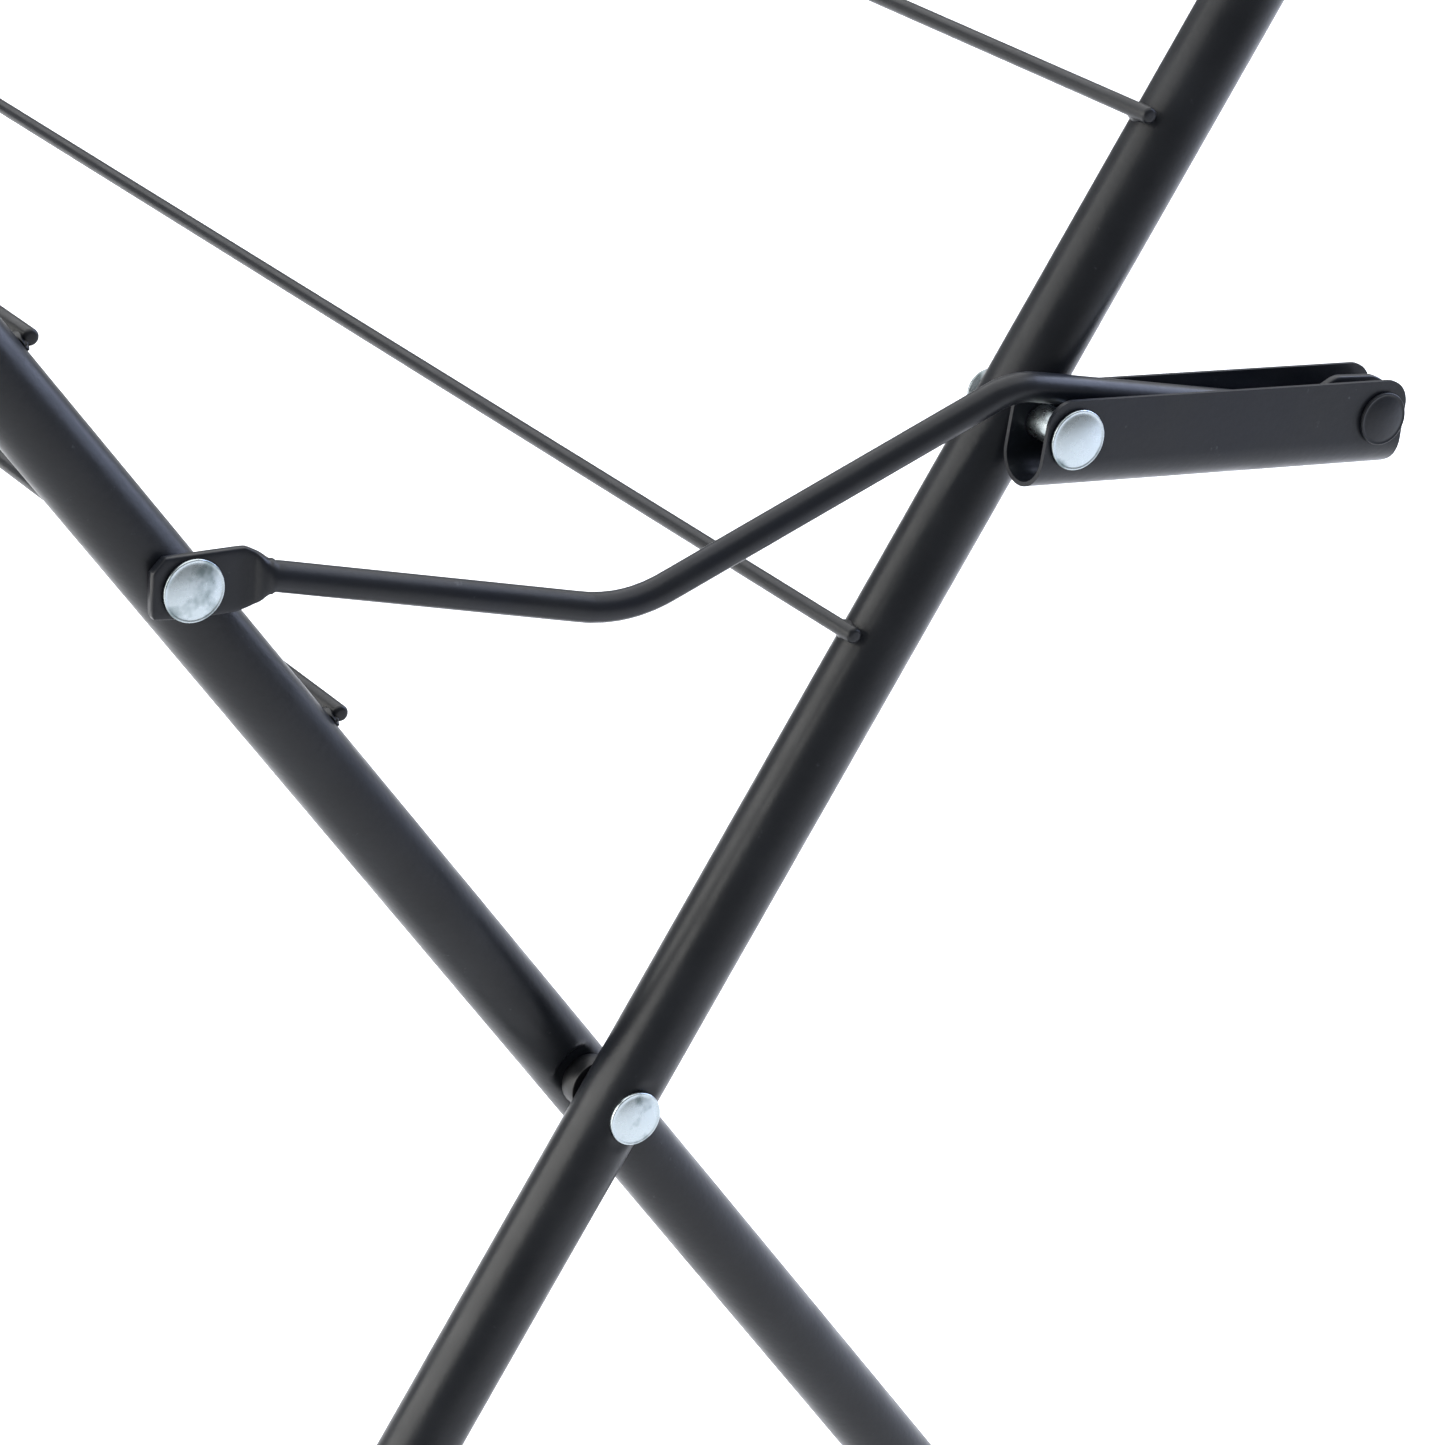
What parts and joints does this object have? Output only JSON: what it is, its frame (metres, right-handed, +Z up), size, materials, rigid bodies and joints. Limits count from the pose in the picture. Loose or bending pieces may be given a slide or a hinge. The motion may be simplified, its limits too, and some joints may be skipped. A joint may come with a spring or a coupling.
{
  "type": "folding drying rack",
  "caption": "Free-standing folding drying rack: two bent-tube frames crossing like an X, wires between their arms, and a bent stay and channel link locking each end.",
  "frame": {"origin": "on the floor, at the middle of the rack's box", "axes": "+Z up, Y along the wires, +X towards the outer frame's top rail; -Y is the front end"},
  "size_m": [0.6546, 1.2424, 0.9021],
  "materials": {
    "frame_paint": "satin blue-black powder coat on steel tube and wire",
    "lock_paint": "satin blue-black powder coat on pressed steel",
    "zinc_plate": "bright zinc-plated rivet steel, slightly cloudy",
    "foot_plastic": "black moulded plastic cap",
    "washer_plastic": "black nylon washer"
  },
  "bodies": {
    "outer_frame": {"outer_frame_tube": "frame_paint", "outer_foot_front": "foot_plastic", "outer_foot_back": "foot_plastic", "outer_wire_1": "frame_paint", "outer_wire_2": "frame_paint", "outer_wire_3": "frame_paint", "pivot_rivet_front": "zinc_plate", "pivot_rivet_back": "zinc_plate", "link_rivet_front": "zinc_plate", "link_rivet_back": "zinc_plate", "link_washer_front": "washer_plastic", "link_washer_back": "washer_plastic"},
    "inner_frame": {"inner_frame_tube": "frame_paint", "inner_foot_front": "foot_plastic", "inner_foot_back": "foot_plastic", "inner_wire_1": "frame_paint", "inner_wire_2": "frame_paint", "inner_wire_3": "frame_paint", "pivot_spacer_front": "washer_plastic", "pivot_spacer_back": "washer_plastic", "stay_rivet_tail_front": "zinc_plate", "stay_rivet_tail_back": "zinc_plate"},
    "lock_link_front": {"lock_link_front": "lock_paint", "joint_rivet_front": "lock_paint", "link_sleeve_front": "zinc_plate"},
    "stay_front": {"stay_front": "lock_paint", "stay_rivet_head_front": "zinc_plate"},
    "lock_link_back": {"lock_link_back": "lock_paint", "joint_rivet_back": "lock_paint", "link_sleeve_back": "zinc_plate"},
    "stay_back": {"stay_back": "lock_paint", "stay_rivet_head_back": "zinc_plate"}
  },
  "joints": [
    {"name": "frame_fold", "type": "hinge", "parent": "outer_frame", "child": "inner_frame", "pos_m": [-0.01294, 0, 0.42465], "axis": [0, -1, 0], "range_deg": [0, 103]},
    {"name": "link_swing_front", "type": "hinge", "parent": "outer_frame", "child": "lock_link_front", "pos_m": [0.10306, -0.61045, 0.5888], "axis": [0, -1, 0], "range_deg": [0, 204.2]},
    {"name": "stay_swing_front", "type": "hinge", "parent": "lock_link_front", "child": "stay_front", "pos_m": [0.19813, -0.61045, 0.57544], "axis": [0, 1, 0], "range_deg": [0, 142]},
    {"name": "link_swing_back", "type": "hinge", "parent": "outer_frame", "child": "lock_link_back", "pos_m": [0.10306, 0.61045, 0.5888], "axis": [0, -1, 0], "range_deg": [0, 204.2]},
    {"name": "stay_swing_back", "type": "hinge", "parent": "lock_link_back", "child": "stay_back", "pos_m": [0.19813, 0.61045, 0.57544], "axis": [0, 1, 0], "range_deg": [0, 142]}
  ],
  "couplings": [
    {"joint": "link_swing_front", "follows": "frame_fold", "ratio": 1.9818},
    {"joint": "stay_swing_front", "follows": "frame_fold", "ratio": 1.378},
    {"joint": "link_swing_back", "follows": "frame_fold", "ratio": 1.9818},
    {"joint": "stay_swing_back", "follows": "frame_fold", "ratio": 1.378}
  ]
}
